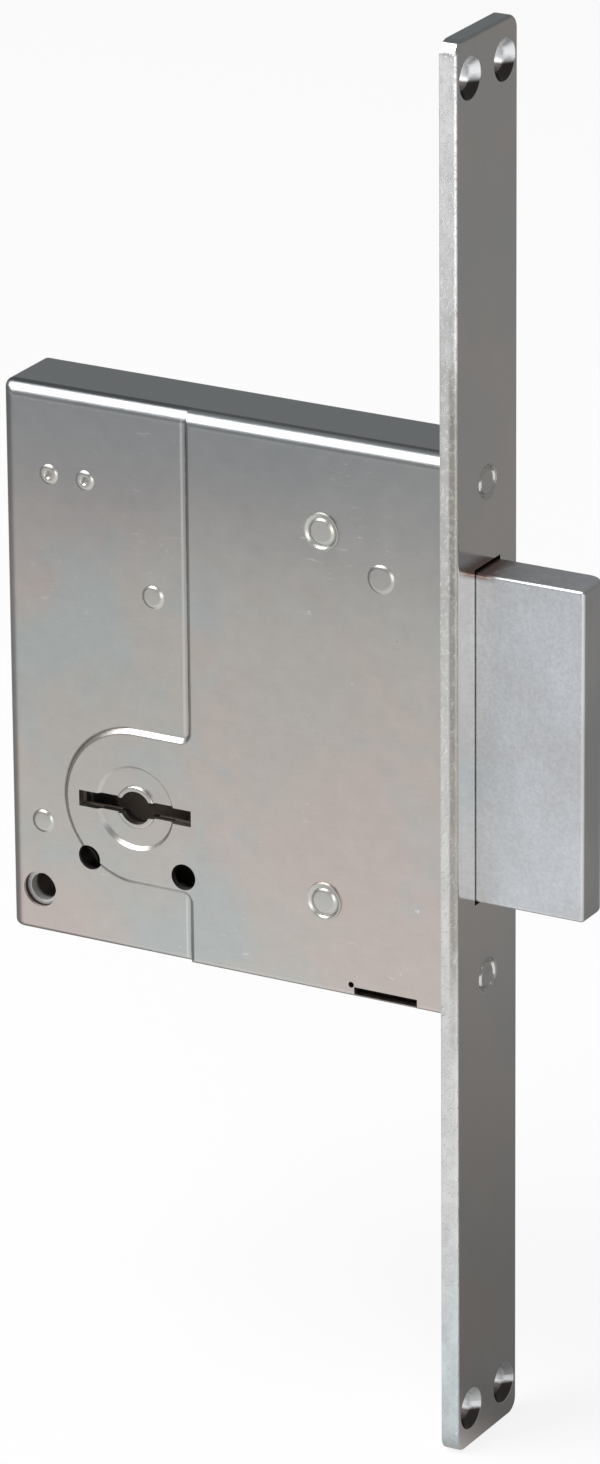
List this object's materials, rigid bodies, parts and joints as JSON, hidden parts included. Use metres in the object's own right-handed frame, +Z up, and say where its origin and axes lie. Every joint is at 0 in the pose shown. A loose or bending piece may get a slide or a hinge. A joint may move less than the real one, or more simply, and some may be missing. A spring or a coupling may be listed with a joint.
{
  "type": "mortise deadlock",
  "caption": "Upright mortise deadlock for a double-bit key: flat zinc-plated case, long narrow faceplate and a thrown rectangular bolt.",
  "frame": {"origin": "middle of the faceplate's rear face, which seats on the door's edge and is also the middle of its screw holes", "axes": "+X the way the bolt is thrown, out of the door's edge; +Z up along the faceplate; -Y out of the case face with the raised field"},
  "size_m": [0.103, 0.02, 0.235],
  "materials": {
    "case_zinc": "satin zinc plating",
    "faceplate_zinc": "polished zinc plating",
    "bolt_zinc": "satin zinc plating",
    "spring_steel": "blued",
    "lever_steel": "bare stamped steel",
    "rivet_steel": "zinc plated",
    "inner_steel": "bare steel"
  },
  "bodies": {
    "case": {"case_shell": "case_zinc", "case_back_plate": "case_zinc", "faceplate": "faceplate_zinc", "faceplate_rivet_upper": "rivet_steel", "faceplate_rivet_lower": "rivet_steel", "front_post_upper": "rivet_steel", "front_post_lower": "rivet_steel", "lever_guide_pin_rear": "rivet_steel", "lever_guide_pin_front": "rivet_steel", "rear_pillar": "rivet_steel", "corner_spacer_tube": "rivet_steel", "spring_block": "inner_steel", "spring_block_rivet_1": "rivet_steel", "spring_block_rivet_2": "rivet_steel", "lever_spring_1": "spring_steel", "lever_spring_2": "spring_steel", "lever_spring_3": "spring_steel", "lever_spring_4": "spring_steel", "lever_spring_5": "spring_steel", "lever_spring_6": "spring_steel"},
    "bolt": {"bolt_head": "bolt_zinc", "bolt_tail_plate": "inner_steel", "bolt_stump": "inner_steel", "bolt_rivet_upper": "rivet_steel", "bolt_rivet_lower": "rivet_steel"},
    "lever_body_1": {"lever_1": "lever_steel"},
    "lever_body_2": {"lever_2": "lever_steel"},
    "lever_body_3": {"lever_3": "lever_steel"},
    "lever_body_4": {"lever_4": "lever_steel"},
    "lever_body_5": {"lever_5": "lever_steel"},
    "lever_body_6": {"lever_6": "lever_steel"},
    "guard_near": {"key_guard_near": "inner_steel"},
    "guard_far": {"key_guard_far": "inner_steel"}
  },
  "joints": [
    {"name": "bolt_slide", "type": "slide", "parent": "case", "child": "bolt", "axis": [1, 0, 0], "range_m": [-0.019, 0]},
    {"name": "lever_1_lift", "type": "slide", "parent": "case", "child": "lever_body_1", "axis": [0, 0, 1], "range_m": [-0.0018, 0.0012], "deforming": ["lever_spring_1"]},
    {"name": "lever_2_lift", "type": "slide", "parent": "case", "child": "lever_body_2", "axis": [0, 0, 1], "range_m": [-0.0018, 0.0012], "deforming": ["lever_spring_2"]},
    {"name": "lever_3_lift", "type": "slide", "parent": "case", "child": "lever_body_3", "axis": [0, 0, 1], "range_m": [-0.0018, 0.0012], "deforming": ["lever_spring_3"]},
    {"name": "lever_4_lift", "type": "slide", "parent": "case", "child": "lever_body_4", "axis": [0, 0, 1], "range_m": [-0.0018, 0.0012], "deforming": ["lever_spring_4"]},
    {"name": "lever_5_lift", "type": "slide", "parent": "case", "child": "lever_body_5", "axis": [0, 0, 1], "range_m": [-0.0018, 0.0012], "deforming": ["lever_spring_5"]},
    {"name": "lever_6_lift", "type": "slide", "parent": "case", "child": "lever_body_6", "axis": [0, 0, 1], "range_m": [-0.0018, 0.0012], "deforming": ["lever_spring_6"]},
    {"name": "key_guard_near_turn", "type": "hinge", "parent": "case", "child": "guard_near", "pos_m": [-0.057, 0, -0.0182], "axis": [0, 1, 0], "continuous": true},
    {"name": "key_guard_far_turn", "type": "hinge", "parent": "case", "child": "guard_far", "pos_m": [-0.057, 0, -0.0182], "axis": [0, 1, 0], "continuous": true}
  ]
}
